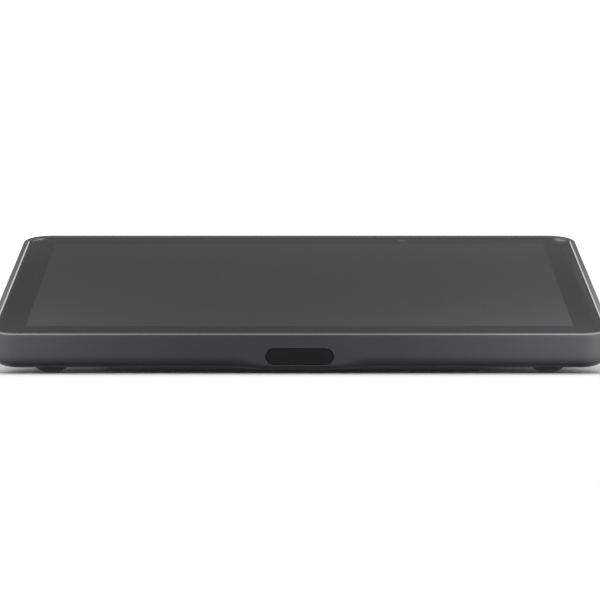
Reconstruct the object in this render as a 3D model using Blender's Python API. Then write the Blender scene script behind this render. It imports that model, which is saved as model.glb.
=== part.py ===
# Low wedge tabletop touch display: tilted slab with a glass front, a sensor window and a cable base.
import bpy
import math
from mathutils import Vector

MM = 0.001
GAP = 0.3                      # clearance between neighbouring pieces, mm

# Slab frame: U across, V up the slope from the outer front edge, W out of the glass plane.
TILT = math.radians(14.0)
LIFT = 15.0                    # height of the glass plane at the outer front edge
CENTRE_Y = 80.86               # half of the overall depth, puts the box centre on the origin
SLAB_W, SLAB_D, CORNER = 246.0, 164.5, 11.6
RIM_TOP, SHELL_BOTTOM, SHELL_FLOOR = 0.45, -14.5, -12.0
LEDGE = -2.0                   # seat that carries the glass gasket
WALL = 4.7                     # slab side wall at the seat
FILLET, FILLET_SENSOR = 6.5, 3.4
SENSOR_FLAT, SENSOR_BLEND = 14.0, 27.0
GLASS_INSET, GLASS_T = 2.8, 1.1
WINDOW_W, WINDOW_H, WINDOW_AT = 26.8, 6.7, -8.6
LIGHT_SENSOR = (45.5, 156.2)
LCD_HALF_U, LCD_HALF_V = 111.0, 70.4      # 10.1 inch cell and its edge seals
BOARD_HALF_U, BOARD_HALF_V, BOARD_V = 48.0, 39.0, 89.0
CAN_AT = (22.0, 92.0)          # shield can, with the processor under it

# Base frame: X across, Y back from the outer front edge, Z up from the table.
BASE_HALF, BASE_FRONT, BASE_BACK = 86.0, 38.0, 150.0
BASE_LOW, BASE_FLOOR, BASE_WALL, BASE_ROOF = 1.6, 4.6, 2.2, 2.0
BASE_CORNER = 8.0
DOOR_HALF, DOOR_FRONT, DOOR_BACK, DOOR_TOP = 66.0, 79.0, 141.0, 4.0
HINGE_Y, HINGE_Z, HINGE_R = 80.8, 3.1, 1.5
KNUCKLE_STEPS = 9              # flats round the door's hinge edge
THUMB_Y = 135.5
OUTLET_HALF, OUTLET_LOW, OUTLET_HIGH = 15.0, 9.0, 21.0
IO_TOP, IO_BACK = 7.4, 75.2       # socket board
PORT_FACE, SOCKET_WALL = 77.0, 1.6
RESET_X, RESET_Z = 38.0, 10.4
FOOT_X, FOOT_Y, FOOT_R, FOOT_C = 98.6, 15.5, 9.78, 9.46

for old in list(bpy.data.objects):
    bpy.data.objects.remove(old, do_unlink=True)


def material(name, colour, metallic, roughness):
    mat = bpy.data.materials.new(name)
    mat.use_nodes = True
    shader = mat.node_tree.nodes["Principled BSDF"]
    shader.inputs["Base Color"].default_value = (*colour, 1.0)
    shader.inputs["Metallic"].default_value = metallic
    shader.inputs["Roughness"].default_value = roughness
    return mat


LOOKS = {
    "painted_metal": ((0.055, 0.056, 0.058), 0.0, 0.42),
    "glass": ((0.012, 0.012, 0.013), 0.0, 0.06),
    "clear": ((0.03, 0.03, 0.035), 0.0, 0.15),
    "window": ((0.006, 0.006, 0.007), 0.0, 0.12),
    "rubber": ((0.012, 0.012, 0.012), 0.0, 0.85),
    "plastic": ((0.03, 0.03, 0.032), 0.0, 0.55),
    "white": ((0.75, 0.75, 0.73), 0.0, 0.5),
    "steel": ((0.55, 0.56, 0.57), 1.0, 0.32),
    "aluminium": ((0.70, 0.71, 0.72), 1.0, 0.38),
    "board": ((0.02, 0.09, 0.05), 0.0, 0.45),
    "amber": ((0.42, 0.20, 0.05), 0.0, 0.4),
    "pad": ((0.35, 0.38, 0.42), 0.0, 0.9),
}


def empty(name, at, turn=0.0):
    obj = bpy.data.objects.new(name, None)
    obj.location = Vector(at) * MM
    obj.rotation_euler = (turn, 0.0, 0.0)
    bpy.context.scene.collection.objects.link(obj)
    return obj


deck = empty("deck_frame", (0.0, -CENTRE_Y, LIFT), TILT)
base = empty("base_frame", (0.0, -CENTRE_Y, 0.0))


def solid(name, verts, faces, look, parent, origin=(0, 0, 0)):
    """Mesh object in its parent's frame, with its own origin."""
    mesh = bpy.data.meshes.new(name)
    centre = Vector(origin)
    mesh.from_pydata([(Vector(v) - centre) * MM for v in verts], [], faces)
    mesh.validate()
    mesh.update()
    obj = bpy.data.objects.new(name, mesh)
    bpy.context.scene.collection.objects.link(obj)
    obj.parent = parent
    obj.location = centre * MM
    if look:
        mesh.materials.append(material(name + "_look", *LOOKS[look]))
    mesh.polygons.foreach_set("use_smooth", [True] * len(mesh.polygons))
    mesh.set_sharp_from_angle(angle=math.radians(32.0))
    return obj


def loft(name, rings, look, parent, wrap=False, **more):
    """Skin over equal closed rings, counter-clockwise and rising; capped unless wrapped."""
    n, m = len(rings[0]), len(rings)
    verts = [p for ring in rings for p in ring]
    faces = []
    for j in range(m if wrap else m - 1):
        a, b = j * n, ((j + 1) % m) * n
        faces += [(a + i, a + (i + 1) % n, b + (i + 1) % n, b + i) for i in range(n)]
    if not wrap:
        faces.append(tuple(reversed(range(n))))
        faces.append(tuple(range((m - 1) * n, m * n)))
    return solid(name, verts, faces, look, parent, **more)


def box(name, x, y, z, look, parent, **more):
    ring = [(x[0], y[0]), (x[1], y[0]), (x[1], y[1]), (x[0], y[1])]
    return loft(name, [[(*p, h) for p in ring] for h in z], look, parent, **more)


def cutter(obj):
    obj.hide_render = True
    obj.display_type = 'WIRE'
    return obj


def boolean(target, tool, operation='DIFFERENCE'):
    mod = target.modifiers.new(operation.lower(), 'BOOLEAN')
    mod.operation = operation
    mod.solver = 'EXACT'
    mod.object = cutter(tool)
    return target


def cut_box(target, label, x, y, z, parent):
    return boolean(target, box(label + "_cutter", x, y, z, None, parent))


def add_box(target, label, x, y, z, parent):
    return boolean(target, box(label + "_add", x, y, z, None, parent), 'UNION')


def turn_axis(p, axis):
    """Map a shape drawn about +Z so it stands about +X or +Y instead."""
    x, y, z = p
    return {'Z': (x, y, z), 'Y': (x, z, -y), 'X': (z, x, y)}[axis]


def lathe(name, at, profile, look, parent, seg=24, axis='Z', **more):
    """Rings (radius, height, lobe) about an axis through 'at'; lobe pulls every second point in."""
    rings = []
    for radius, height, lobe in profile:
        ring = []
        for i in range(seg):
            a = 2 * math.pi * i / seg
            r = radius * (1.0 - lobe * (i % 2))
            q = turn_axis((r * math.cos(a), r * math.sin(a), height), axis)
            ring.append(tuple(q[k] + at[k] for k in range(3)))
        rings.append(ring)
    return loft(name, rings, look, parent, **more)


def rod(name, at, radius, low, high, look, parent, **more):
    return lathe(name, at, [(radius, low, 0), (radius, high, 0)], look, parent, **more)


def drill(target, label, at, radius, low, high, parent, seg=20, axis='Z'):
    return boolean(target, rod(label + "_cutter", at, radius, low, high, None, parent, seg=seg, axis=axis))


def screw(name, at, head_r, head_h, shank_r, shank_l, parent, up=True, seg=12):
    """Head seat at 'at'; the shank runs down when 'up', else up; six-lobe recess in the head."""
    rec, deep = head_r * 0.55, head_h * 0.6
    profile = [(shank_r * 0.7, -shank_l, 0), (shank_r, -shank_l + 0.4, 0), (shank_r, 0, 0), (head_r, 0, 0),
               (head_r, head_h * 0.6, 0), (head_r * 0.8, head_h, 0), (rec, head_h, 0.22),
               (rec, head_h - deep, 0.22)]
    if not up:
        profile = [(r, -h, lobe) for r, h, lobe in reversed(profile)]
    return lathe(name, at, profile, "steel", parent, seg=seg)


def round_rect(half_x, half_y, radius, seg=5, front=(), at=(0.0, 0.0)):
    """Counter-clockwise outline as (x, y, normal x, normal y), with extra stations on the front side."""
    pts = [(x, -half_y, 0.0, -1.0) for x in front]
    for cx, cy, start in ((1, -1, -90), (1, 1, 0), (-1, 1, 90), (-1, -1, 180)):
        for i in range(seg + 1):
            a = math.radians(start + 90.0 * i / seg)
            c, s = math.cos(a), math.sin(a)
            pts.append((cx * (half_x - radius) + radius * c, cy * (half_y - radius) + radius * s, c, s))
    return [(x + at[0], y + at[1], nx, ny) for x, y, nx, ny in pts]


def inset(outline, amount, height):
    return [(x - nx * amount, y - ny * amount, height) for x, y, nx, ny in outline]


def plate(name, outline, shrink, low, high, look, parent, chamfer=0.0):
    rings = [inset(outline, shrink, low)]
    if chamfer:
        rings.append(inset(outline, shrink, high - chamfer))
    rings.append(inset(outline, shrink + chamfer, high))
    return loft(name, rings, look, parent)


def strip(name, path, half, thick, look, parent, at=0.0):
    """Flat ribbon: (y, z) path widened along X about 'at' with the given thickness."""
    left, right = [], []
    for i, (y, z) in enumerate(path):
        a = path[max(i - 1, 0)]
        b = path[min(i + 1, len(path) - 1)]
        length = math.hypot(b[0] - a[0], b[1] - a[1])
        ny, nz = -(b[1] - a[1]) / length * thick / 2, (b[0] - a[0]) / length * thick / 2
        left.append((y + ny, z + nz))
        right.append((y - ny, z - nz))
    loop = right + left[::-1]
    rings = [[(at + s * half, y, z) for y, z in loop] for s in (-1, 1)]
    return loft(name, rings, look, parent)


def plane_z(y, w):
    """Height over the table of the slab-parallel plane W = w at depth y."""
    return LIFT + y * math.tan(TILT) + w / math.cos(TILT)


def deck_to_base(v, w):
    return (v * math.cos(TILT) - w * math.sin(TILT), LIFT + v * math.sin(TILT) + w * math.cos(TILT))


# Slab outlines
blend = [SENSOR_FLAT + (SENSOR_BLEND - SENSOR_FLAT) * i / 7 for i in range(8)]
stations = [-x for x in reversed(blend)] + [0.0] + blend
MID = SLAB_D / 2
detailed = round_rect(SLAB_W / 2, MID, CORNER, 8, stations, (0.0, MID))
simple = round_rect(SLAB_W / 2, MID, CORNER, 8, (), (0.0, MID))


def edge_radius(x, y, ny):
    """Lower edge radius: tight below the sensor window, full elsewhere."""
    t = min(max((SENSOR_BLEND - abs(x)) / (SENSOR_BLEND - SENSOR_FLAT), 0.0), 1.0)
    ease = t * t * (3 - 2 * t) if ny < -0.99 else 0.0
    return FILLET + (FILLET_SENSOR - FILLET) * ease


def fillet_ring(angle):
    ring = []
    for x, y, nx, ny in detailed:
        r = edge_radius(x, y, ny)
        d = r * (1 - math.sin(angle))
        ring.append((x - nx * d, y - ny * d, SHELL_BOTTOM + r * (1 - math.cos(angle))))
    return ring


# Body shell: rounded lower edge, upright side, chamfered rim, inner wall down to the floor
rings = [fillet_ring(math.radians(90.0 * i / 6)) for i in range(7)]
rings += [inset(detailed, d, w) for d, w in (
    (0.0, RIM_TOP - 0.35), (0.35, RIM_TOP), (2.0, RIM_TOP), (2.5, RIM_TOP - 0.5), (2.5, LEDGE),
    (WALL, LEDGE), (WALL, SHELL_FLOOR))]
shell = loft("body_shell", rings, "painted_metal", deck)

window_hole = round_rect(WINDOW_W / 2 + 0.25, WINDOW_H / 2 + 0.25, WINDOW_H / 2 + 0.25, 8)


def across_v(outline, grow, depths, name, look, parent, at=WINDOW_AT, shift=0.0):
    """Loft an outline drawn in U and W through the given V depths."""
    loops = [[(x + nx * g + shift, v, z + nz * g + at) for x, z, nx, nz in reversed(outline)]
             for v, g in zip(depths, grow)]
    return loft(name, loops, look, parent)


boolean(shell, across_v(window_hole, (0, 0), (-2.0, 6.0), "window_cutter", None, deck))
cut_box(shell, "sensor_pocket", (-21.0, 21.0), (2.2, WALL + 1.0), (-11.95, -4.2), deck)

FRAME_SCREWS = [(s * 115.2, MID + t * 60.0) for s in (-1, 1) for t in (-1, 1)]
BOARD_SCREWS = [(s * 44.0, v) for s in (-1, 1) for v in (54.0, 124.0)]
BASE_SCREWS = [(s * 56.0, v) for s in (-1, 1) for v in (94.0, 126.0)]
for group, spots, radius, top, bore, low, high in (
        ("frame_post", FRAME_SCREWS, 2.6, -6.7, 1.3, -11.0, -6.0),
        ("board_post", BOARD_SCREWS, 2.8, -10.9, 1.3, -12.8, -10.0),
        ("base_post", BASE_SCREWS, 4.0, -9.0, 1.5, -15.0, -9.9)):
    for i, (u, v) in enumerate(spots):
        label = "%s_%d" % (group, i + 1)
        post = rod(label + "_add", (u, v, 0), radius, SHELL_FLOOR - 0.5, top, None, deck, seg=20)
        boolean(shell, post, 'UNION')
        drill(shell, label, (u, v, 0), bore, low, high, deck, seg=16)

cut_box(shell, "ribbon_slot", (-9.5, 9.5), (56.5, 65.0), (-15.0, -11.0), deck)

# Front feet: each dome is a set of circles on one sphere, turning from table-flat to slab-parallel.
foot_v = FOOT_Y * math.cos(TILT) + (FOOT_C - LIFT) * math.sin(TILT)
foot_w = -FOOT_Y * math.sin(TILT) + (FOOT_C - LIFT) * math.cos(TILT)
socket_r = math.sqrt(FOOT_R ** 2 - (foot_w - SHELL_BOTTOM) ** 2)


def foot_rings(x):
    loops = []
    steps, seg = 6, 32
    for k in range(steps + 1):
        t = k / steps
        drop = FOOT_C + (foot_w - SHELL_BOTTOM - 0.05 - FOOT_C) * (1 - (1 - t) ** 1.6)
        turn = -TILT * (1 - t)
        radius = math.sqrt(FOOT_R ** 2 - drop ** 2)
        ring = []
        for i in range(seg):
            a = 2 * math.pi * i / seg
            p, q = radius * math.sin(a), radius * math.cos(a)
            ring.append((x + q, foot_v + p * math.cos(turn) + drop * math.sin(turn),
                         foot_w + p * math.sin(turn) - drop * math.cos(turn)))
        loops.append(ring)
    for r, w in ((socket_r - GAP, SHELL_BOTTOM + 0.15), (socket_r - GAP, SHELL_BOTTOM + 0.9)):
        turns = [2 * math.pi * i / seg for i in range(seg)]
        loops.append([(x + r * math.cos(a), foot_v + r * math.sin(a), w) for a in turns])
    return loops


for side, s in (("left", -1), ("right", 1)):
    drill(shell, "foot_socket_" + side, (s * FOOT_X, foot_v, 0), socket_r + 0.1, -16.0, -13.0, deck, seg=32)
    loft("front_foot_" + side, foot_rings(s * FOOT_X), "rubber", deck)

# Glass and display stack
plate("cover_glass", simple, GLASS_INSET, -GLASS_T, 0.0, "glass", deck, chamfer=0.2)
gasket = [inset(simple, d, w) for d, w in (
    (GLASS_INSET, -1.7), (GLASS_INSET, -1.4), (4.4, -1.4), (4.4, -1.7))]
loft("glass_gasket", gasket, "rubber", deck, wrap=True)
plate("touch_panel", simple, WALL + 0.3, -1.9, -1.4, "clear", deck)
for name, half_u, half_v, low, high, look in (
        ("lcd_cell", LCD_HALF_U, LCD_HALF_V, -3.2, -2.2, "clear"),
        ("backlight_unit", LCD_HALF_U + 0.5, LCD_HALF_V + 0.5, -5.3, -3.5, "white")):
    plate(name, round_rect(half_u, half_v, 1.5, 3, (), (0, MID)), 0.0, low, high, look, deck)

tray_out = round_rect(LCD_HALF_U + 1.7, LCD_HALF_V + 1.7, 2.4, 3, (), (0, MID))
tray = [inset(tray_out, d, w) for d, w in ((0.0, -6.4), (0.0, -2.3), (0.8, -2.3), (0.8, -5.6))]
frame = loft("panel_frame", tray, "aluminium", deck)
for i, (u, v) in enumerate(FRAME_SCREWS):
    s = 1 if u > 0 else -1
    span = sorted((s * 112.0, s * 117.8))
    add_box(frame, "frame_ear_%d" % (i + 1), span, (v - 4.0, v + 4.0), (-6.4, -5.6), deck)
    drill(frame, "frame_ear_hole_%d" % (i + 1), (u, v, 0), 1.3, -7.0, -5.0, deck, seg=16)
    screw("frame_screw_%d" % (i + 1), (u, v, -5.3), 1.9, 0.9, 1.0, 5.2, deck)
cut_box(frame, "panel_ribbon_notch", (-37.0, -5.0), (153.0, 155.0), (-3.4, -2.0), deck)

# Electronics inside the slab
board_out = round_rect(BOARD_HALF_U, BOARD_HALF_V, 2.0, 3, (), (0, BOARD_V))
board = plate("main_board", board_out, 0.0, -10.6, -9.4, "board", deck)
for i, (u, v) in enumerate(BOARD_SCREWS):
    drill(board, "board_hole_%d" % (i + 1), (u, v, 0), 1.3, -11.0, -9.0, deck, seg=16)
    screw("board_screw_%d" % (i + 1), (u, v, -9.1), 1.9, 0.9, 1.0, 3.4, deck)
can_out = round_rect(21.0, 21.0, 1.5, 3, (), CAN_AT)
can = [inset(can_out, d, w) for d, w in ((0.4, -8.0), (0.4, -9.1), (0.0, -9.1), (0.0, -7.6))]
loft("shield_can", can, "steel", deck)
chip_u, chip_v = [(c - 8.0, c + 8.0) for c in CAN_AT]
box("processor", chip_u, chip_v, (-9.1, -8.3), "plastic", deck)
plate("heat_pad", round_rect(17.0, 17.0, 1.0, 3, (), CAN_AT), 0.0, -7.3, -6.7, "pad", deck)
strip("lcd_ribbon", [(154.2, -2.75), (156.4, -2.75), (157.4, -3.6), (157.4, -7.0), (156.4, -7.9),
                     (131.0, -7.9), (126.0, -8.95), (117.0, -8.95)], 15.0, 0.2, "amber", deck, -21.0)

# Sensor group behind the front window
pill = round_rect(WINDOW_W / 2, WINDOW_H / 2, WINDOW_H / 2, 8)
window = across_v(pill, (-0.2, 0, 0), (0.2, 0.4, 3.2), "sensor_window", "window", deck)
add_box(window, "window_tab", (-16.6, 16.6), (2.5, 3.2), (WINDOW_AT - 3.0, WINDOW_AT + 3.0), deck)
cut_box(window, "window_hollow", (-9.0, 9.0), (1.5, 4.0), (WINDOW_AT - 2.2, WINDOW_AT + 2.2), deck)
box("motion_sensor", (-3.0, 3.0), (1.9, 3.2), (WINDOW_AT - 1.8, WINDOW_AT + 1.8), "white", deck)
box("sensor_board", (-19.5, 19.5), (3.5, 4.5), (WINDOW_AT - 3.1, WINDOW_AT + 3.4), "board", deck)
strip("sensor_ribbon", [(4.8, -8.2), (9.0, -8.2), (13.0, -8.9), (58.0, -8.9)], 4.0, 0.2, "amber", deck, 0.0)
lathe("light_sensor", (*LIGHT_SENSOR, 0), [(1.7, -4.4, 0), (1.7, -2.5, 0), (1.5, -2.3, 0)], "clear", deck,
      seg=20)

# Base housing: hollow wedge that fills the space under the raised half of the slab
base_mid = (BASE_FRONT + BASE_BACK) / 2
base_out = round_rect(BASE_HALF, (BASE_BACK - BASE_FRONT) / 2, BASE_CORNER, 12, (), (0.0, base_mid))


def wedge(outline, shrink, low, roof, name, look, edge=0.0):
    """Column over an outline, flat below and cut parallel to the slab above."""
    loops = [inset(outline, shrink + edge, low)]
    if edge:
        loops.append(inset(outline, shrink, low + edge))
    loops.append([(x, y, plane_z(y, roof)) for x, y, _ in inset(outline, shrink, 0.0)])
    return loft(name, loops, look, base)


housing = wedge(base_out, 0.0, BASE_LOW, SHELL_BOTTOM - GAP, "base_housing", "plastic", edge=0.6)
roof_low = SHELL_BOTTOM - GAP - BASE_ROOF
boolean(housing, wedge(base_out, BASE_WALL, BASE_FLOOR, roof_low, "base_hollow_cutter", None))
add_box(housing, "thumb_tab", (-8.0, 8.0), (131.0, BASE_BACK - 1.0), (DOOR_TOP + 0.4, 8.0), base)
cut_box(housing, "door_opening", (-DOOR_HALF, DOOR_HALF), (DOOR_FRONT, DOOR_BACK), (1.0, DOOR_TOP + 0.4),
        base)
for label, x, y in (("door_sill_left", (-DOOR_HALF, -8.0), (DOOR_FRONT, DOOR_BACK)),
                    ("door_sill_right", (8.0, DOOR_HALF), (DOOR_FRONT, DOOR_BACK)),
                    ("door_sill_front", (-9.0, 9.0), (DOOR_FRONT, 131.0))):
    cut_box(housing, label, x, y, (3.0, 5.4), base)
drill(housing, "thumb_hole", (0, THUMB_Y, 0), 2.1, 3.0, 9.0, base)
outlet = round_rect(OUTLET_HALF, (OUTLET_HIGH - OUTLET_LOW) / 2, 5.0, 5)
outlet_z = (OUTLET_HIGH + OUTLET_LOW) / 2
boolean(housing, across_v(outlet, (0, 0), (146.0, 152.0), "outlet_cutter", None, base, at=outlet_z))
for i, (u, v) in enumerate(BASE_SCREWS):
    drill(housing, "base_hole_%d" % (i + 1), (u, v, 0), 1.5, -18.0, -13.0, deck, seg=16)
    screw("base_screw_%d" % (i + 1), (u, v, roof_low - GAP), 2.8, 1.6, 1.2, 6.3, deck, up=False)
cut_box(housing, "ribbon_roof_slot", (-9.5, 9.5), (56.5, 65.0), (-18.5, -13.5), deck)
for s in (-1, 1):
    side = "left" if s < 0 else "right"
    for k in range(5):
        y = 99.0 + 6.5 * k
        cut_box(housing, "sound_slot_%s_%d" % (side, k + 1), sorted((s * 82.0, s * 88.0)), (y, y + 2.6),
                (8.5, 15.5), base)
    span = sorted((s * 70.0, s * 82.0))
    cut_box(housing, "pad_pocket_" + side, span, (92.0, 140.0), (1.0, 2.1), base)
    pad = round_rect(5.7, 23.7, 2.0, 4, (), (s * 76.0, 116.0))
    plate("rear_pad_" + side, pad, 0.0, 0.0, 1.8, "rubber", base)

# Speakers behind the side slots
for side, s in (("left", -1), ("right", 1)):
    body = plate("speaker_" + side, round_rect(6.6, 20.0, 2.0, 3, (), (s * 76.4, 115.2)), 0.0, 4.9, 17.6,
                 "plastic", base)
    cone = [(0.9, -1.6, 0), (5.0, 0.0, 0), (5.0, 2.0, 0)]
    if s < 0:
        cone = [(r, -h, lobe) for r, h, lobe in reversed(cone)]
    boolean(body, lathe("speaker_cone_%s_cutter" % side, (s * 83.0, 115.2, 11.6), cone, None, base,
                        seg=24, axis='X'))

# Cable door, its pins and thumbscrew
hinge = (0.0, HINGE_Y, HINGE_Z)
profile = []
sweep = 1.5 * math.pi - math.asin((DOOR_TOP - HINGE_Z) / HINGE_R)
for i in range(KNUCKLE_STEPS + 1):
    a = -0.5 * math.pi - sweep * i / KNUCKLE_STEPS
    profile.append((HINGE_Y + HINGE_R * math.cos(a), HINGE_Z + HINGE_R * math.sin(a)))
profile += [(DOOR_BACK - GAP, DOOR_TOP), (DOOR_BACK - GAP, BASE_LOW + 0.4), (DOOR_BACK - GAP - 0.4, BASE_LOW)]
ends = [[(s * (DOOR_HALF - GAP), y, z) for y, z in profile] for s in (1, -1)]
door = loft("cable_cover", ends, "plastic", base, origin=hinge)
drill(door, "thumb_seat", (0, THUMB_Y, 0), 4.5, 1.0, 3.1, base, seg=28)
drill(door, "thumb_shank", (0, THUMB_Y, 0), 2.0, 1.0, 5.0, base)
for k in range(6):
    y = 92.0 + 5.0 * k
    cut_box(door, "door_vent_%d" % (k + 1), (-20.0, 20.0), (y, y + 2.0), (1.0, 5.0), base)
thumb = [(3.6, 1.75, 0), (4.0, 2.0, 0.04), (4.0, 2.8, 0.04), (1.5, 2.8, 0), (1.5, 7.0, 0), (1.1, 7.4, 0)]
knob = lathe("cover_screw", (0, THUMB_Y, 0), thumb, "steel", base, seg=32, origin=(0, THUMB_Y, 2.8))
cut_box(knob, "coin_slot", (-5.0, 5.0), (THUMB_Y - 0.6, THUMB_Y + 0.6), (1.0, 2.2), base)
for side, s in (("left", -1), ("right", 1)):
    low, high = sorted((s * 59.9, s * 74.0))
    for target in (housing, door):
        drill(target, "pin_bore_%s_%s" % (side, target.name), hinge, 0.9, low, high, base, seg=12, axis='X')
    low, high = sorted((s * 60.2, s * 73.7))
    rod("hinge_pin_" + side, hinge, 0.6, low, high, "steel", base, seg=12, axis='X')

# Socket bracket, board and sockets
bracket = box("port_bracket", (-50.0, 50.0), (75.5, 76.7), (4.9, 15.4), "steel", base)
add_box(bracket, "bracket_foot", (-50.0, 50.0), (50.0, 76.0), (4.9, 5.9), base)
io = box("io_board", (-48.0, 48.0), (48.0, IO_BACK), (6.2, IO_TOP), "board", base)
for i, s in enumerate((-1, 1)):
    for target in (bracket, io):
        drill(target, "bracket_hole_%d_%s" % (i + 1, target.name), (s * 44.0, 56.0, 0), 1.3, 4.0, 9.0, base,
              seg=16)
    drill(housing, "bracket_post_%d" % (i + 1), (s * 44.0, 56.0, 0), 1.3, 2.6, 6.0, base, seg=16)
    screw("bracket_screw_%d" % (i + 1), (s * 44.0, 56.0, IO_TOP + GAP), 1.9, 0.9, 1.0, 4.7, base)

for name, x, half_x, height, length, tongue in (
        ("video_socket", -28.0, 7.5, 5.6, 11.0, (5.2, 0.8)),
        ("data_socket", -4.0, 6.6, 5.7, 11.0, (5.0, 0.9)),
        ("power_socket", 18.0, 4.5, 3.3, 8.0, (2.9, 0.35))):
    mid = IO_TOP + GAP + height / 2
    corner = 1.2 if height < 4 else 0.6
    loop = round_rect(half_x, height / 2, corner, 3)
    grow = (0.0, 0.0, -0.35, -0.35)
    depth = (IO_BACK - length, PORT_FACE, PORT_FACE, IO_BACK - length + SOCKET_WALL)
    part = across_v(loop, grow, depth, name, "steel", base, mid, x)
    tx, tz = tongue
    add_box(part, name + "_tongue", (x - tx, x + tx), (IO_BACK - length + 1.0, IO_BACK + 0.8),
            (mid - tz, mid + tz), base)
    boolean(bracket, across_v(loop, (GAP, GAP), (75.0, 78.0), name + "_port_cutter", None, base, mid, x))

box("reset_switch", (RESET_X - 3.0, RESET_X + 3.0), (69.0, 72.5), (IO_TOP + GAP, RESET_Z + 1.9), "plastic",
    base)
drill(bracket, "reset_hole", (RESET_X, 0, RESET_Z), 1.8, 75.0, 78.0, base, axis='Y')
plunger = [(1.2, 73.3, 0), (1.2, 74.2, 0), (2.4, 74.2, 0), (2.4, 75.2, 0), (1.5, 75.2, 0), (1.5, 77.7, 0),
           (1.2, 78.0, 0)]
lathe("reset_button", (RESET_X, 0, RESET_Z), plunger, "plastic", base, seg=20, axis='Y',
      origin=(RESET_X, 77.0, RESET_Z))

bend = [(50.0, 7.8), (57.0, 7.8), (60.0, 10.2), (60.5, 16.6), deck_to_base(66.0, -11.3),
        deck_to_base(75.0, -11.3)]
strip("board_ribbon", bend, 8.0, 0.2, "amber", base, 0.0)
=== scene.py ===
# Low wedge tabletop touch display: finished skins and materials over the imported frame.
import math
import bpy
import numpy as np
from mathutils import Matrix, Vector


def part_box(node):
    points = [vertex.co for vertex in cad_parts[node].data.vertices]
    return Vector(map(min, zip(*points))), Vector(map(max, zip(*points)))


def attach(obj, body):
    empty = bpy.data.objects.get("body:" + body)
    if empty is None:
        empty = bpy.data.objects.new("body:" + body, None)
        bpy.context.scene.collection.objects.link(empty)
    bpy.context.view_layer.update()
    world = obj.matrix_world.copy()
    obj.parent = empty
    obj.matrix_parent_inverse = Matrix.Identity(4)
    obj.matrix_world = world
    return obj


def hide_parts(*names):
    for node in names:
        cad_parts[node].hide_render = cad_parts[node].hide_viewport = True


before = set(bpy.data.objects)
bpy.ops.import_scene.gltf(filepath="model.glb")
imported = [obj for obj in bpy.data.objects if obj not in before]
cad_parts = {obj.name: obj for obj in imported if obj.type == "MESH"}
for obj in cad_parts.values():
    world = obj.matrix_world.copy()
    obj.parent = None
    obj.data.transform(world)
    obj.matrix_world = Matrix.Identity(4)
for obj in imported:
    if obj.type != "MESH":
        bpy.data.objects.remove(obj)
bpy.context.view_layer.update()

mm = 0.001
edgeAngle = math.radians(32.0)    # faces meeting at more than this keep a crisp edge


class Wire:
    # A node output that takes part in sums; each operator adds one Math node.
    def __init__(self, graph, socket):
        self.graph, self.socket = graph, socket

    def __add__(self, other): return self.graph.math("ADD", self, other)
    def __radd__(self, other): return self.graph.math("ADD", other, self)
    def __sub__(self, other): return self.graph.math("SUBTRACT", self, other)
    def __rsub__(self, other): return self.graph.math("SUBTRACT", other, self)
    def __mul__(self, other): return self.graph.math("MULTIPLY", self, other)
    def __rmul__(self, other): return self.graph.math("MULTIPLY", other, self)


class Graph:
    # One material: its Principled shader, and the ways to add nodes in front of it.
    def __init__(self, name, colour, roughness, metallic=0.0, **fixed):
        self.material = bpy.data.materials.new(name)
        self.material.use_nodes = True
        self.tree = self.material.node_tree
        self.shader = self.tree.nodes["Principled BSDF"]
        self.set("Base Color", (*colour, 1.0))
        self.set("Roughness", roughness)
        self.set("Metallic", metallic)
        for key, value in fixed.items():
            self.set(key, value)
        self.place = self.add("ShaderNodeTexCoord", output="Object")

    def set(self, key, value):
        # one socket of the shader, to a value or a link
        self.feed(self.shader.inputs[key], value)

    def feed(self, socket, value):
        # a wire is linked, anything else is the socket's own value
        if isinstance(value, Wire):
            self.tree.links.new(value.socket, socket)
        else:
            socket.default_value = value

    def add(self, kind, settings=None, inputs=None, output=0):
        # any node: its settings first, then the values or links of its sockets
        node = self.tree.nodes.new(kind)
        for key, value in (settings or {}).items():
            setattr(node, key, value)
        for key, value in (inputs or {}).items():
            self.feed(node.inputs[key], value)
        return Wire(self, node.outputs[output])

    def math(self, operation, a, b=0.0):
        # one operation on a, or on a and b
        return self.add("ShaderNodeMath", {"operation": operation}, {0: a, 1: b})

    def mix(self, mask, low, high):
        # colour = low where the mask is 0, high where it is 1
        return self.add("ShaderNodeMix", {"data_type": "RGBA"}, {0: mask, 6: low, 7: high}, 2)

    def noise(self, perMetre, detail=2.0, roughness=0.5):
        # smooth random value from 0 to 1, about this many lumps a metre
        return self.add("ShaderNodeTexNoise", {}, {
            "Vector": self.place, "Scale": perMetre, "Detail": detail, "Roughness": roughness}, "Fac")

    def axes(self):
        # x, y and z of the point, in metres
        split = self.add("ShaderNodeSeparateXYZ", {}, {0: self.place}).socket.node
        return [Wire(self, split.outputs[i]) for i in range(3)]

    def within(self, value, half, soft):
        # 1 while |value| is under half, falling to 0 over the soft width
        size = self.math("ABSOLUTE", value)
        return self.add("ShaderNodeMapRange", {}, {
            "Value": size, "From Min": half, "From Max": half + soft, "To Min": 1.0, "To Max": 0.0})

    def ramp(self, value, start, end):
        # 0 at start, 1 at end, smooth between
        return self.add("ShaderNodeMapRange", {"interpolation_type": "SMOOTHSTEP"},
                        {"Value": value, "From Min": start, "From Max": end})

    def bump(self, height, strength, distance):
        # the normal leans with the slope of height times distance
        self.set("Normal", self.add("ShaderNodeBump", {}, {
            "Height": height, "Strength": strength, "Distance": distance}))


def grey(value):
    # one value for red, green and blue, with a solid alpha
    return (value, value, value, 1.0)


def shade(colour, factor):
    # the colour times one factor, held at 1, with a solid alpha
    return tuple(min(c * factor, 1.0) for c in colour) + (1.0,)


satin = {"clouds": 18.0, "detail": 3.0, "grit": 0.6, "glossSwing": 0.10, "grainHeight": 0.00006}


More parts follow.
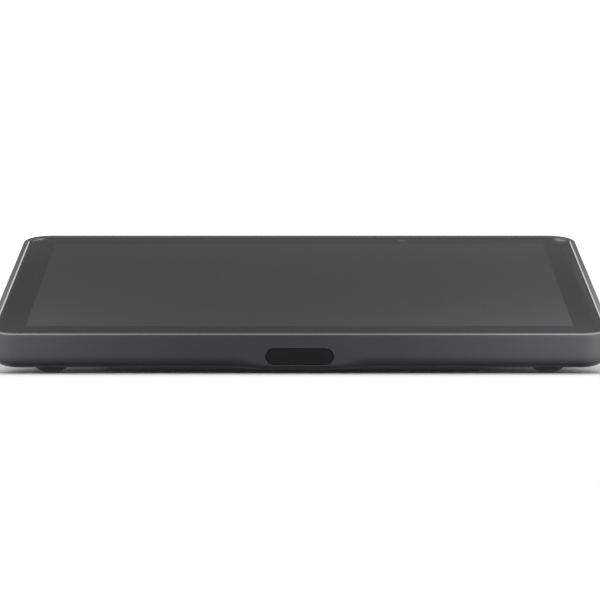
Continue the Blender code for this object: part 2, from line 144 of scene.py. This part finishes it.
def speckled(name, colour, roughness, grain, spread, depth, metallic=0.0, **fixed):
    # Satin finish: the mean of slow clouds and fine grain moves the colour by the spread either way, the
    # grain alone swings the roughness about its middle and stands up as bump.
    g = Graph(name, colour, roughness, metallic, **fixed)
    broad, fine = g.noise(satin["clouds"], satin["detail"]), g.noise(grain, satin["detail"], satin["grit"])
    g.set("Base Color", g.mix(broad * 0.5 + fine * 0.5, shade(colour, 1 - spread), shade(colour, 1 + spread)))
    g.set("Roughness", fine * satin["glossSwing"] + (roughness - satin["glossSwing"] / 2))
    g.bump(fine, depth, satin["grainHeight"])
    return g.material


# The slab's own frame, in millimetres: x across, v up the slope from the front edge, w out of the glass.
slab = {"width": 246.0, "depth": 164.5, "corner": 11.6, "tilt": math.radians(14.0), "lift": 15.0,
        "rimTop": 0.44, "bottom": -14.5, "within": 0.01, "frontTop": 0.1}
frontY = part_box("body_shell")[0].y / mm + slab["frontTop"] * math.sin(slab["tilt"])
midV = slab["depth"] / 2


def toWorld(p):
    # y = v cos - w sin, z = lift + v sin + w cos, in millimetres, then metres
    p = np.asarray(p, float)
    c, s = math.cos(slab["tilt"]), math.sin(slab["tilt"])
    return np.stack([p[..., 0], frontY + p[..., 1] * c - p[..., 2] * s,
                     slab["lift"] + p[..., 1] * s + p[..., 2] * c], -1) * mm


def roundOutline(halfX, halfY, radius, steps, front=None, midY=0.0):
    # Straight sides joined by quarter arcs, anticlockwise; columns are x, y and the outward normal.
    turn = np.radians(np.linspace(0.0, 90.0, steps + 1))
    arcs = []
    for k, (sx, sy) in enumerate(((1, -1), (1, 1), (-1, 1), (-1, -1))):
        a = turn + math.radians(90.0 * k - 90.0)
        arcs.append(np.stack([sx * (halfX - radius) + radius * np.cos(a), sy * (halfY - radius)
                              + radius * np.sin(a), np.cos(a), np.sin(a)], -1))
    sides = [] if front is None else [np.stack([front, 0 * front - halfY, 0 * front, 0 * front - 1.0], -1)]
    out = np.concatenate(sides + arcs)
    out[:, 1] += midY
    return out


def insetRing(outline, inset, height):
    # Each outline point moved in along its normal, at one height.
    x, y, outX, outY = outline.T
    return np.stack([x - outX * inset, y - outY * inset, np.broadcast_to(height, len(outline))], -1)


def gridFaces(index):
    # Quads between neighbouring rows of a vertex index grid, each row closed on itself.
    beside = np.roll(index, -1, axis=1)
    return np.stack([index[:-1], beside[:-1], beside[1:], index[1:]], -1).reshape(-1, 4)


def makePiece(name, points, quads, caps, materials, body, replaces, marks=None):
    # Mesh from whole arrays: quads, then the flat end faces; smooth except across real edges. It rides on
    # a body and stands in for one node; marks give each face its finish.
    mesh = bpy.data.meshes.new(name)
    mesh.from_pydata(points.tolist(), [], quads.tolist() + [list(map(int, c)) for c in caps])
    mesh.polygons.foreach_set("use_smooth", np.ones(len(mesh.polygons), bool))
    for m in materials:
        mesh.materials.append(m)
    if marks is not None:
        mesh.polygons.foreach_set("material_index", marks.astype(np.int32))
    mesh.set_sharp_from_angle(angle=edgeAngle)
    mesh.update()
    piece = bpy.data.objects.new(name, mesh)
    bpy.context.scene.collection.objects.link(piece)
    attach(piece, body)
    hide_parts(replaces)


def stackPiece(name, rings, material, body, replaces, place=toWorld):
    # Rings of equal length skinned in order, the first and the last closed with a flat face.
    rings = np.asarray(rings)
    index = np.arange(rings.shape[0] * rings.shape[1]).reshape(rings.shape[:2])
    caps = [index[0][::-1], index[-1]]
    makePiece(name, place(rings.reshape(-1, 3)), gridFaces(index), caps, [material], body, replaces)


print("finishes")

graphite = {"colour": (0.0125, 0.0129, 0.0134), "roughness": 0.44, "grain": 5200.0, "spread": 0.05,
            "depth": 0.12, "gloss": 0.32}
shellFinish = speckled("shellSatin", graphite["colour"], graphite["roughness"], graphite["grain"],
                       graphite["spread"], graphite["depth"], **{"Specular IOR Level": graphite["gloss"]})
# The rim's top is paler than the shell: partly a painted highlight standing in for the thin bright line along
# the rim's top edge. The inner cut chamfer is bright metal.
rim = {"top": (0.032, 0.032, 0.033), "topRoughness": 0.24, "cut": (0.62, 0.62, 0.63), "cutRoughness": 0.16,
       "gloss": 0.75, "grain": 2600.0, "spread": 0.1, "glossSwing": 0.12}


def rimFinish(name, colour, roughness, metallic):
    # Milled metal for the cut, and for the rim's top a pale band that is partly a painted highlight: fine
    # noise moves the colour by the spread either way and swings the roughness.
    g = Graph(name, colour, roughness, metallic, **{"Specular IOR Level": rim["gloss"]})
    lines = g.noise(rim["grain"])
    g.set("Base Color", g.mix(lines, shade(colour, 1 - rim["spread"]), shade(colour, 1 + rim["spread"])))
    g.set("Roughness", lines * rim["glossSwing"] + (roughness - rim["glossSwing"] / 2))
    return g.material


# the rim's top: its paler colour is partly a painted highlight along the rim
rimTop = rimFinish("rimTop", rim["top"], rim["topRoughness"], 0.0)
rimCut = rimFinish("rimCut", rim["cut"], rim["cutRoughness"], 1.0)
screen = {"width": 217.0, "depth": 135.6, "edge": 0.3, "border": (0.0050, 0.0050, 0.0053),
          "blank": (0.0100, 0.0100, 0.0105), "spot": (0.030, 0.030, 0.032), "spotX": 45.5, "spotV": 156.2,
          "spotRadius": 1.5, "spotEdge": 0.4, "gloss": 0.45, "roughness": 0.09, "haze": 0.05,
          "hazeSize": 40.0}


def glassFinish():
    # Printed border and the slightly paler screen area, told apart by distance from the glass's middle.
    g = Graph("coverGlass", screen["border"], screen["roughness"], **{"Specular IOR Level": screen["gloss"]})
    x, y = g.axes()[:2]
    c = math.cos(slab["tilt"])
    up = (y - (frontY + midV * c) * mm) * (1 / c)
    edge = screen["edge"] * mm
    area = g.within(x, screen["width"] / 2 * mm, edge) * g.within(up, screen["depth"] / 2 * mm, edge)
    dx = x - screen["spotX"] * mm
    dv = up - (screen["spotV"] - midV) * mm
    spot = g.within(g.math("SQRT", dx * dx + dv * dv), screen["spotRadius"] * mm, screen["spotEdge"] * mm)
    base = g.mix(area, (*screen["border"], 1.0), (*screen["blank"], 1.0))
    g.set("Base Color", g.mix(spot, base, (*screen["spot"], 1.0)))
    g.set("Roughness", g.noise(screen["hazeSize"]) * screen["haze"] + screen["roughness"])
    return g.material


def simpleFinish(name, colour, roughness, metallic=0.0, depth=0.05):
    # Speckled with one grain size and colour spread, for the pieces inside and underneath.
    return speckled(name, colour, roughness, 900.0, 0.08, depth, metallic)


# name, colour, roughness, grains per metre, colour spread, grain depth
windowFinish = speckled("windowDark", (0.0032, 0.0032, 0.0035), 0.16, 300.0, 0.10, 0.0,
                        **{"Specular IOR Level": 0.3})
rubberFinish = speckled("footRubber", (0.040, 0.040, 0.040), 0.82, 3000.0, 0.15, 0.35)
plasticFinish = speckled("baseMoulding", (0.036, 0.037, 0.038), 0.55, 2600.0, 0.08, 0.45)
steelFinish = simpleFinish("platedSteel", (0.52, 0.53, 0.54), 0.3, 1.0)
sheetFinish = simpleFinish("frameSheet", (0.66, 0.67, 0.68), 0.38, 1.0)
whiteFinish = simpleFinish("whiteMoulding", (0.72, 0.72, 0.70), 0.5)
blackFinish = simpleFinish("blackMoulding", (0.026, 0.026, 0.028), 0.5, depth=0.2)
padFinish = simpleFinish("heatPad", (0.33, 0.36, 0.40), 0.9, depth=0.3)
layerFinish = simpleFinish("panelLayer", (0.03, 0.03, 0.034), 0.18, depth=0.0)


solder = {"mask": (0.012, 0.06, 0.032, 1), "track": (0.03, 0.14, 0.075, 1), "roughness": 0.42, "cells": 260.0,
          "gap": 0.04, "filled": (0.35, 0.35, 0.35, 1), "strength": 0.6, "relief": 0.2, "copper": 0.00003}


def boardFinish():
    # Solder mask over copper: staggered oblong cells, some paler, with the tracks standing up between them.
    g = Graph("circuitBoard", solder["mask"][:3], solder["roughness"])
    cells = g.add("ShaderNodeTexBrick", {"offset": 0.5, "squash": 1.0}, {
        "Vector": g.place, "Scale": solder["cells"], "Mortar Size": solder["gap"], "Color1": (0, 0, 0, 1),
        "Color2": solder["filled"], "Mortar": (1, 1, 1, 1)}, "Color")
    g.set("Base Color", g.mix(cells * solder["strength"], solder["mask"], solder["track"]))
    g.bump(cells, solder["relief"], solder["copper"])
    return g.material


film = {"low": (0.30, 0.13, 0.03, 1), "high": (0.55, 0.30, 0.10, 1), "roughness": 0.35, "halfPitch": 0.00035}


def ribbonFinish():
    # Copper lines under amber film, running along the ribbon: a triangle wave of x between two colours.
    g = Graph("ribbonAmber", film["low"][:3], film["roughness"])
    lines = g.math("PINGPONG", g.axes()[0], film["halfPitch"]) * (1 / film["halfPitch"])
    g.set("Base Color", g.mix(lines, film["low"], film["high"]))
    return g.material


finishes = {
    plasticFinish: ("base_housing", "cable_cover"),
    rubberFinish: ("glass_gasket", "rear_pad_left", "rear_pad_right"),
    sheetFinish: ("panel_frame",),
    whiteFinish: ("backlight_unit", "motion_sensor"),
    padFinish: ("heat_pad",),
    layerFinish: ("touch_panel", "lcd_cell", "light_sensor"),
    boardFinish(): ("main_board", "io_board", "sensor_board"),
    ribbonFinish(): ("lcd_ribbon", "board_ribbon", "sensor_ribbon"),
    blackFinish: ("processor", "reset_button", "reset_switch", "speaker_left", "speaker_right")}
finishOf = {node: m for m, nodes in finishes.items() for node in nodes}    # screws, pins and cans are steel
weldGap = 0.00001


def softenEdges(node):
    # Loose triangles are welded and shaded smooth, then split again at the real edges.
    node.data.polygons.foreach_set("use_smooth", np.ones(len(node.data.polygons), bool))
    node.modifiers.new("weld", "WELD").merge_threshold = weldGap
    node.modifiers.new("edges", "EDGE_SPLIT").split_angle = edgeAngle


for name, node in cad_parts.items():
    node.data.materials.clear()
    node.data.materials.append(finishOf.get(name, steelFinish))
    softenEdges(node)

print("body shell")

shell = {"lowerEdge": 6.5, "lowerAtWindow": 3.4, "flatHalf": 14.0, "blendHalf": 27.0, "topEdge": 0.35,
         "rimLow": -0.8, "rimIn": 2.0, "cutIn": 2.5, "cutDeep": 0.5, "seat": -2.0, "wall": 4.7,
         "floor": -12.0, "innerTop": -3.2, "innerBottom": -11.97, "patchHalf": 23.0, "patchTop": -2.4,
         "rows": 14, "arcRows": 6, "rimRows": 4, "cornerSteps": 20}
window = {"length": 26.8, "height": 6.7, "at": -8.6, "gap": 0.22, "edge": 0.12, "wallThick": 2.2,
          "pocket": (20.0, 2.875), "pocketAt": -8.075, "pocketCorner": 1.0, "rings": 8, "crowd": 0.8}
# columns along the front edge, closest together at the window
midX = np.linspace(-shell["patchHalf"], shell["patchHalf"], 47)
nearX = np.linspace(shell["patchHalf"], 60.0, 19)[1:]
farX = np.array([75.0, 90.0, 105.0])
frontX = np.concatenate([-farX[::-1], -nearX[::-1], midX, nearX, farX])
plan = roundOutline(slab["width"] / 2 - slab["within"], midV - slab["within"], slab["corner"],
                    shell["cornerSteps"], frontX, midV)


def lowerRadius(x, front):
    # Lower edge radius: tight for |x| under flatHalf, full past blendHalf, smooth-stepped between.
    t = np.clip((shell["blendHalf"] - np.abs(x)) / (shell["blendHalf"] - shell["flatHalf"]), 0, 1)
    ease = t * t * (3 - 2 * t) * front
    return shell["lowerEdge"] + (shell["lowerAtWindow"] - shell["lowerEdge"]) * ease


radius = lowerRadius(plan[:, 0], plan[:, 3] < -0.999)    # the window's tight edge is on the front side only


def frontSurface(x, w):
    # Depth of the front face at (x, w): 0 above the lower edge's arc, and r - sqrt(r^2 - (r - h)^2) on it,
    # where h is the height above the slab's underside.
    r = lowerRadius(x, 1.0)
    d = np.clip(r - (w - slab["bottom"]), 0, r)
    return r - np.sqrt(r * r - d * d)


def shellRows():
    # Profile rows from the underside up the outside, over the rim and down the inside wall.
    # The lower edge is r(1 - sin a) in and r(1 - cos a) up, the rim's edge the same arc turned over.
    rows = []
    firstPatch = shell["arcRows"]    # the window's patch starts half way up the lower edge
    for a in np.radians(np.linspace(0, 90, 2 * firstPatch + 1)):
        rows.append(insetRing(plan, radius * (1 - math.sin(a)), slab["bottom"] + radius * (1 - math.cos(a))))
    start = slab["bottom"] + radius
    for f in np.linspace(0, 1, shell["rows"] - firstPatch + 1)[1:]:
        rows.append(insetRing(plan, 0.0, start + (shell["patchTop"] - start) * f))
    lastPatch = len(rows) - 1
    top, edge = slab["rimTop"], shell["topEdge"]
    rows.append(insetRing(plan, 0.0, shell["rimLow"]))
    rimRow = len(rows) + shell["rimRows"] // 2
    for a in np.radians(np.linspace(0, 90, shell["rimRows"] + 1)):
        rows.append(insetRing(plan, edge * (1 - math.cos(a)), top - edge + edge * math.sin(a)))
    rows.append(insetRing(plan, shell["rimIn"], top))
    cutRow = len(rows) - 1
    rows += [insetRing(plan, shell["cutIn"], top - shell["cutDeep"]),
             insetRing(plan, shell["cutIn"], shell["seat"]), insetRing(plan, shell["wall"], shell["seat"])]
    innerTop = len(rows)
    for w in np.linspace(shell["innerTop"], shell["innerBottom"], shell["rows"] + 1):
        rows.append(insetRing(plan, shell["wall"], w))
    innerBottom = len(rows) - 1
    rows.append(insetRing(plan, shell["wall"], shell["floor"]))
    return np.stack(rows), (firstPatch, lastPatch), (innerTop, innerBottom), (rimRow, cutRow)


def loopAround(top, bottom, left, right):
    # Grid indices of a rectangle's border: top row rightwards, down, bottom row leftwards, up.
    step = 1 if bottom > top else -1
    down = np.arange(top, bottom + step, step)
    across = np.arange(left, right + 1)
    pairs = [(top, c) for c in across[:-1]] + [(r, right) for r in down[:-1]]
    pairs += [(bottom, c) for c in across[:0:-1]] + [(r, left) for r in down[:0:-1]]
    return np.array(pairs)


def nearestOn(core, radius, at, x, w):
    # Closest point of a rounded outline: clamp to its core box, then step out by the radius.
    cx, cw = np.clip(x, -core[0], core[0]), np.clip(w - at, -core[1], core[1]) + at
    dx, dw = x - cx, w - cw
    length = np.hypot(dx, dw)
    return cx + radius * dx / length, cw + radius * dw / length


def makeShell():
    # The lofted bowl with one rectangle of grid left open outside and inside; a tube of rings joins the two,
    # closing first onto the pill outline, then through the wall, then out to the pocket behind it.
    grid, outside, inside, (rimRow, cutRow) = shellRows()
    cols = grid.shape[1]
    index = np.arange(grid.shape[0] * cols).reshape(grid.shape[:2])
    left = int(np.argmin(np.abs(plan[:len(frontX), 0] + shell["patchHalf"])))
    right = left + len(midX) - 1
    quads = gridFaces(index)
    row, col = np.divmod(np.arange(len(quads)), cols)
    patches = ((row >= outside[0]) & (row < outside[1])) | ((row >= inside[0]) & (row < inside[1]))
    kept = ~(patches & (col >= left) & (col < right))
    # shell, rim top (its paler colour partly a painted highlight) and the bright cut
    marks = ((row >= rimRow) & (row < cutRow)) + 2 * (row == cutRow)    # which of the three finishes
    quads, marks = quads[kept], marks[kept]
    outer = tuple(loopAround(outside[1], outside[0], left, right).T)
    inner = tuple(loopAround(inside[0], inside[1], left, right).T)
    startX, startW, endX, endW = grid[outer][:, 0], grid[outer][:, 2], grid[inner][:, 0], grid[inner][:, 2]
    r, back = window["height"] / 2 + window["gap"], window["wallThick"]
    core = ((window["length"] - window["height"]) / 2, 0.0)
    pillX, pillW = nearestOn(core, r, window["at"], startX, startW)
    rings = []
    for f in np.linspace(0, 1, window["rings"] + 1)[1:] ** window["crowd"]:
        x, w = startX + (pillX - startX) * f, startW + (pillW - startW) * f
        rings.append(np.stack([x, frontSurface(x, w), w], -1))
    x, w = nearestOn(core, r - window["edge"], window["at"], startX, startW)
    rings.append(np.stack([x, frontSurface(x, w) + window["edge"], w], -1))
    rings.append(np.stack([x, 0 * x + back, w], -1))
    x, w = nearestOn(window["pocket"], window["pocketCorner"], window["pocketAt"], endX, endW)
    rings += [np.stack([x, 0 * x + back, w], -1), np.stack([x, 0 * x + shell["wall"], w], -1)]
    extra = np.stack(rings)
    extraIndex = index.size + np.arange(extra.size // 3).reshape(extra.shape[:2])
    tubeQuads = gridFaces(np.concatenate([index[outer][None], extraIndex, index[inner][None]]))[:, ::-1]
    points = np.concatenate([grid.reshape(-1, 3), extra.reshape(-1, 3)])
    caps = [index[0][::-1], index[-1]]
    marks = np.concatenate([marks, np.zeros(len(tubeQuads) + len(caps))])
    makePiece("shellSkin", toWorld(points), np.concatenate([quads, tubeQuads]), caps,
              [shellFinish, rimTop, rimCut], "body", "body_shell", marks)


makeShell()

print("cover glass")

glass = {"inset": 2.8, "thick": 1.1, "polish": 0.22, "steps": 5, "underCut": 0.15, "cornerSteps": 24}


def makeGlass():
    # Rounded sheet: a straight bevel below, and above a quarter arc p(1 - cos t) in and p sin t up.
    ring = roundOutline(slab["width"] / 2, midV, slab["corner"], glass["cornerSteps"], None, midV)
    p, bevel = glass["polish"], glass["underCut"]
    rings = [insetRing(ring, glass["inset"] + bevel, -glass["thick"]),
             insetRing(ring, glass["inset"], -glass["thick"] + bevel)]
    for t in np.radians(np.linspace(0, 90, glass["steps"])):
        rings.append(insetRing(ring, glass["inset"] + p * (1 - math.cos(t)), -p + p * math.sin(t)))
    stackPiece("glassSheet", rings, glassFinish(), "body", "cover_glass")


makeGlass()

print("sensor window")

lens = {"face": 0.2, "edge": 0.3, "back": 3.2, "hollowFrom": 1.5, "hollow": (8.4, 1.6), "hollowCorner": 0.6,
        "steps": 25, "edgeRows": 6}


def makeWindow():
    # Pill carried through the wall, its front edge a quarter arc, hollowed from behind for the sensor.
    a = np.radians(np.linspace(0, 180, lens["steps"]))
    core, e = (window["length"] - window["height"]) / 2, lens["edge"]

    def pill(shrink, v):
        # two half circles, the second the first turned half round
        r = window["height"] / 2 - shrink
        x, w = core + r * np.sin(a), -r * np.cos(a)
        return np.stack([np.append(x, -x), np.full(2 * len(a), v), np.append(w, -w) + window["at"]], -1)

    def hollow(v):
        # the pill's points pulled in onto the sensor's rounded oblong
        p = pill(0.0, v)
        x, w = nearestOn(lens["hollow"], lens["hollowCorner"], window["at"], p[:, 0], p[:, 2])
        return np.stack([x, p[:, 1], w], -1)

    rings = [hollow(lens["hollowFrom"]), hollow(lens["back"]), pill(0.0, lens["back"])]
    for t in np.radians(np.linspace(0, 90, lens["edgeRows"])):
        rings.append(pill(e * (1 - math.cos(t)), lens["face"] + e * (1 - math.sin(t))))
    stackPiece("windowLens", rings, windowFinish, "body", "sensor_window")


makeWindow()

print("front feet")

foot = {"across": 98.6, "depth": 15.5, "sphere": 9.78, "centre": 9.46, "rows": 14, "steps": 56, "crowd": 1.6,
        "short": 0.05, "collar": ((0.05, -0.02), (0.35, -0.001))}


def makeFoot(name, side, node):
    # Circles of one sphere on planes that turn from the table's angle to the slab's, then a short collar.
    c, s = math.cos(slab["tilt"]), math.sin(slab["tilt"])
    v = foot["depth"] * c + (foot["centre"] - slab["lift"]) * s
    w = -foot["depth"] * s + (foot["centre"] - slab["lift"]) * c
    a = np.linspace(0, 2 * math.pi, foot["steps"], endpoint=False)
    reach = w - slab["bottom"]
    rings = []
    for t in np.linspace(0, 1, foot["rows"]):
        drop = foot["centre"] + (reach - foot["short"] - foot["centre"]) * (1 - (1 - t) ** foot["crowd"])
        turn = -slab["tilt"] * (1 - t)
        r = math.sqrt(foot["sphere"] ** 2 - drop ** 2)
        rings.append(np.stack([side * foot["across"] + r * np.cos(a),
                               v + r * np.sin(a) * math.cos(turn) + drop * math.sin(turn),
                               w + r * np.sin(a) * math.sin(turn) - drop * math.cos(turn)], -1))
    r = math.sqrt(foot["sphere"] ** 2 - reach ** 2)
    for shrink, height in foot["collar"]:
        rings.append(np.stack([side * foot["across"] + (r - shrink) * np.cos(a), v + (r - shrink) * np.sin(a),
                               0 * a + slab["bottom"] + height], -1))
    stackPiece(name, rings, rubberFinish, "body", node)


makeFoot("footDomeLeft", -1, "front_foot_left")
makeFoot("footDomeRight", 1, "front_foot_right")

print("thumbscrew")

# radius, height and share of the knurl at each turn of the profile, after the flat face's circles
knob = {"knurls": 24, "perKnurl": 6, "depth": 0.16, "slot": 0.6, "slotDeep": 0.55, "slotTop": 0.05,
        "face": 3.5, "faceIn": 0.15, "faceRows": 14,
        "profile": ((3.75, 0.08, 0.4), (4.0, 0.3, 1.0), (4.0, 0.8, 1.0), (3.8, 1.05, 0.3), (1.5, 1.05, 0.0),
                    (1.5, 5.2, 0.0), (1.1, 5.65, 0.0))}


def makeThumbscrew():
    # Turned profile; the head's side follows r - depth |sin| to stand up in knurls, and a slot dips its face.
    low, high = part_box("cover_screw")
    middle = np.array([(low.x + high.x) / 2, (low.y + high.y) / 2, low.z])
    a = np.linspace(0, 2 * math.pi, knob["knurls"] * knob["perKnurl"], endpoint=False)
    face = [(f * knob["face"], 0.0, 0.0) for f in np.linspace(knob["faceIn"], 1.0, knob["faceRows"])]
    rings = []
    for r, z, knurl in (*face, *knob["profile"]):
        wavy = r - knob["depth"] * knurl * np.abs(np.sin(a * knob["knurls"] / 2))
        x, y = wavy * np.cos(a), wavy * np.sin(a)
        dip = knob["slotDeep"] * (np.abs(y) < knob["slot"]) * (z < knob["slotTop"])
        rings.append(np.stack([x, y, z + dip], -1))
    stackPiece("coverKnob", rings, steelFinish, "thumbscrew", "cover_screw",
               lambda p: p * mm + middle)


makeThumbscrew()

print("stage")

stage = {"floorHalf": 6.0, "white": 0.63, "glow": 0.006, "sky": 1.4, "bounce": 0.20,
         "skyFade": (-0.16, -0.02), "sun": 0.8, "sunHeight": math.radians(62.0),
         "sunSpread": math.radians(55.0)}


def makeFloor():
    # Plain pale plate; what it would throw back on the object comes from the lower half of the sky instead.
    finish = Graph("floorPale", (stage["white"],) * 3, 1.0, **{
        "Specular IOR Level": 0.0, "Emission Color": (1, 1, 1, 1), "Emission Strength": stage["glow"]})
    mesh = bpy.data.meshes.new("floor")
    h = stage["floorHalf"]
    mesh.from_pydata([(-h, -h, 0), (h, -h, 0), (h, h, 0), (-h, h, 0)], [], [(0, 1, 2, 3)])
    mesh.materials.append(finish.material)
    floor = bpy.data.objects.new("floor", mesh)
    bpy.context.scene.collection.objects.link(floor)
    floor.visible_glossy = floor.visible_diffuse = floor.visible_shadow = False
    return floor


# brightness of each part of the room, and where each part fades in, as shares of the radius
room = {"radius": 5.0, "rows": 33, "columns": 60, "wall": 0.18, "ceiling": 1.8, "band": 0.9,
        "ceilingFades": {"up": (0.6, 0.95), "back": (-0.15, 0.2), "across": (0.5, 0.2)},
        "bandFades": {"across": (0.15, 0.21), "back": (0.5, 0.7), "up": (0.45, 0.38)}}


def makeRoom():
    # Sphere seen only in reflections, r(cos lat cos lon, cos lat sin lon, sin lat): dim, with a bright
    # ceiling and a pale band low at each side behind, each the product of its three fades.
    g = Graph("roomGlow", (0, 0, 0), 1.0, **{"Specular IOR Level": 0.0, "Emission Strength": 1.0})
    r = room["radius"]
    x, y, z = [axis * (1 / r) for axis in g.axes()]
    along = {"across": g.math("ABSOLUTE", x), "back": y, "up": z}

    def part(fades):
        first, second, third = [g.ramp(along[axis], *ends) for axis, ends in fades.items()]
        return first * second * third

    wall = g.mix(part(room["bandFades"]), grey(room["wall"]), grey(room["band"]))
    g.set("Emission Color", g.mix(part(room["ceilingFades"]), wall, grey(room["ceiling"])))
    lat, lon = np.meshgrid(np.radians(np.linspace(-89, 89, room["rows"])),
                           np.linspace(0, 2 * math.pi, room["columns"], endpoint=False), indexing="ij")
    points = np.stack([r * np.cos(lat) * np.cos(lon), r * np.cos(lat) * np.sin(lon), r * np.sin(lat)], -1)
    quads = gridFaces(np.arange(lat.size).reshape(lat.shape))[:, ::-1]
    mesh = bpy.data.meshes.new("room")
    mesh.from_pydata(points.reshape(-1, 3).tolist(), [], quads.tolist())
    mesh.materials.append(g.material)
    sphere = bpy.data.objects.new("room", mesh)
    bpy.context.scene.collection.objects.link(sphere)
    sphere.visible_camera = sphere.visible_diffuse = False
    sphere.visible_shadow = sphere.visible_transmission = False


def makeSky():
    # Even white above; below the horizon it fades to the weaker light a table throws up.
    world = bpy.data.worlds.new("studio")
    bpy.context.scene.world = world
    world.use_nodes = True
    nodes, links = world.node_tree.nodes, world.node_tree.links
    place, split = nodes.new("ShaderNodeTexCoord"), nodes.new("ShaderNodeSeparateXYZ")
    fade = nodes.new("ShaderNodeMapRange")
    values = (*stage["skyFade"], stage["bounce"], stage["sky"])
    for key, value in zip(("From Min", "From Max", "To Min", "To Max"), values):
        fade.inputs[key].default_value = value
    nodes["Background"].inputs["Color"].default_value = (1, 1, 1, 1)
    links.new(place.outputs["Generated"], split.inputs[0])
    links.new(split.outputs["Z"], fade.inputs["Value"])
    links.new(fade.outputs[0], nodes["Background"].inputs["Strength"])
    world.cycles_visibility.glossy = False


def aimed(name, kind, at, aim, power, **settings):
    # A light at one point turned to face another: tilt from the drop's arctangent, turn from the plan's.
    # It lights only what is matt, because the room gives every reflection.
    light = bpy.data.lights.new(name, kind)
    light.energy = power
    for key, value in settings.items():
        setattr(light, key, value)
    obj = bpy.data.objects.new(name, light)
    obj.location = at
    step = np.array(aim, float) - np.array(at, float)
    drop = math.atan2(-step[2], math.hypot(step[0], step[1]))
    obj.rotation_euler = (math.pi / 2 - drop, 0, math.atan2(step[1], step[0]) - math.pi / 2)
    obj.visible_camera = obj.visible_glossy = False
    bpy.context.scene.collection.objects.link(obj)
    return obj


# place and aim in metres from the middle of the slab's front edge
endLights = {"rightEnd": {"at": (0.21, -0.095, 0.075), "aim": (0.09, 0, 0.008), "power": 3.6, "size": 0.08},
             "leftEnd": {"at": (-0.19, -0.075, 0.06), "aim": (-0.11, 0, 0.008), "power": 1.5, "size": 0.05}}


def lightEnds(floor):
    # A small soft light low beside each end of the front face, kept off the floor by light linking.
    flagged = bpy.data.collections.new("flagged")
    flagged.objects.link(floor)
    flagged.collection_objects[0].light_linking.link_state = "EXCLUDE"
    edge = np.array([0, frontY * mm, 0])
    for name, lamp in endLights.items():
        light = aimed(name, "AREA", edge + lamp["at"], edge + lamp["aim"], lamp["power"], size=lamp["size"])
        light.light_linking.receiver_collection = flagged


floor = makeFloor()
makeRoom()
makeSky()
sunFrom = (0, math.cos(stage["sunHeight"]), math.sin(stage["sunHeight"]))
aimed("backSun", "SUN", sunFrom, (0, 0, 0), stage["sun"], angle=stage["sunSpread"])
lightEnds(floor)

# distance in front of the slab's front edge and height in millimetres, pitch down in degrees
eye = {"distance": 1058.1, "height": 48.79, "pitch": 1.069, "lens": 162.12, "sensor": 36.0, "shift": 0.0008}
cameraData = bpy.data.cameras.new("camera")
cameraData.lens, cameraData.sensor_width, cameraData.shift_x = eye["lens"], eye["sensor"], eye["shift"]
camera = bpy.data.objects.new("camera", cameraData)
camera.location = (0.0, (frontY - eye["distance"]) * mm, eye["height"] * mm)
camera.rotation_euler = (math.radians(90.0 - eye["pitch"]), 0.0, 0.0)
bpy.context.scene.collection.objects.link(camera)
bpy.context.scene.camera = camera
bpy.context.scene.view_settings.view_transform = "Standard"

print("done")
